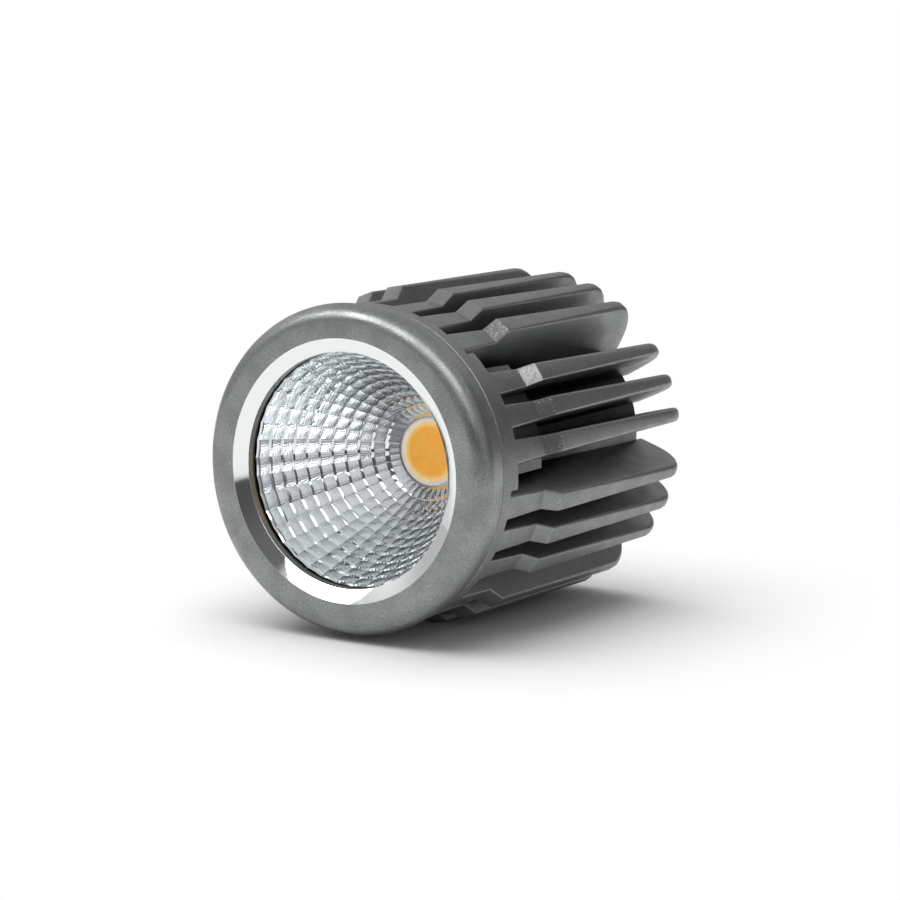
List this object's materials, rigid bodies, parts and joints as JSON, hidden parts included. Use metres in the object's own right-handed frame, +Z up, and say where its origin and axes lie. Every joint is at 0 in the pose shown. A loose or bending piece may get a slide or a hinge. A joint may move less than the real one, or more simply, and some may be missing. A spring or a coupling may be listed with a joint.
{
  "type": "led module",
  "caption": "Round spot-lamp module with a finned cast heat sink, a screwed front ring with a bright lip, a faceted cup reflector and a chip-on-board emitter.",
  "frame": {"origin": "bottom centre of the module's box, on the surface that its lowest fins rest on", "axes": "the optical axis runs along Y, with the emitting face towards -Y and the cable inlet towards +Y; +Z is up, and the wire bore lies above the axis"},
  "size_m": [0.0518, 0.062, 0.0519],
  "materials": {
    "cast_grey": "die cast, sprayed with a mid-grey metallic paint with a fine speckle",
    "ring_grey": "turned, sprayed with a mid-grey metallic paint, with its conical lip left bright and polished",
    "mirror_cup": "moulded plastic with a vacuum-metallised mirror coat",
    "white_plastic": "moulded, satin white",
    "board_metal": "aluminium substrate under a white reflective layer",
    "pale_silicone": "cast silicone, satin",
    "yellow_phosphor": "phosphor-filled silicone, yellow-orange, satin",
    "grey_silicone": "soft heat-conducting sheet, matte",
    "zinc_steel": "zinc plated",
    "solder": "bright solder",
    "red_lead": "silicone insulation, satin red",
    "black_lead": "silicone insulation, satin black",
    "black_rubber": "moulded rubber, matte black"
  },
  "bodies": {
    "root": {"heat_sink": "cast_grey", "front_ring": "ring_grey", "reflector": "mirror_cup", "cob_holder": "white_plastic", "cob_board": "board_metal", "cob_dam": "pale_silicone", "cob_phosphor": "yellow_phosphor", "thermal_pad": "grey_silicone", "holder_screw_left": "zinc_steel", "holder_screw_right": "zinc_steel", "solder_positive": "solder", "solder_negative": "solder", "lead_positive": "red_lead", "lead_negative": "black_lead", "rear_grommet": "black_rubber"}
  },
  "joints": []
}
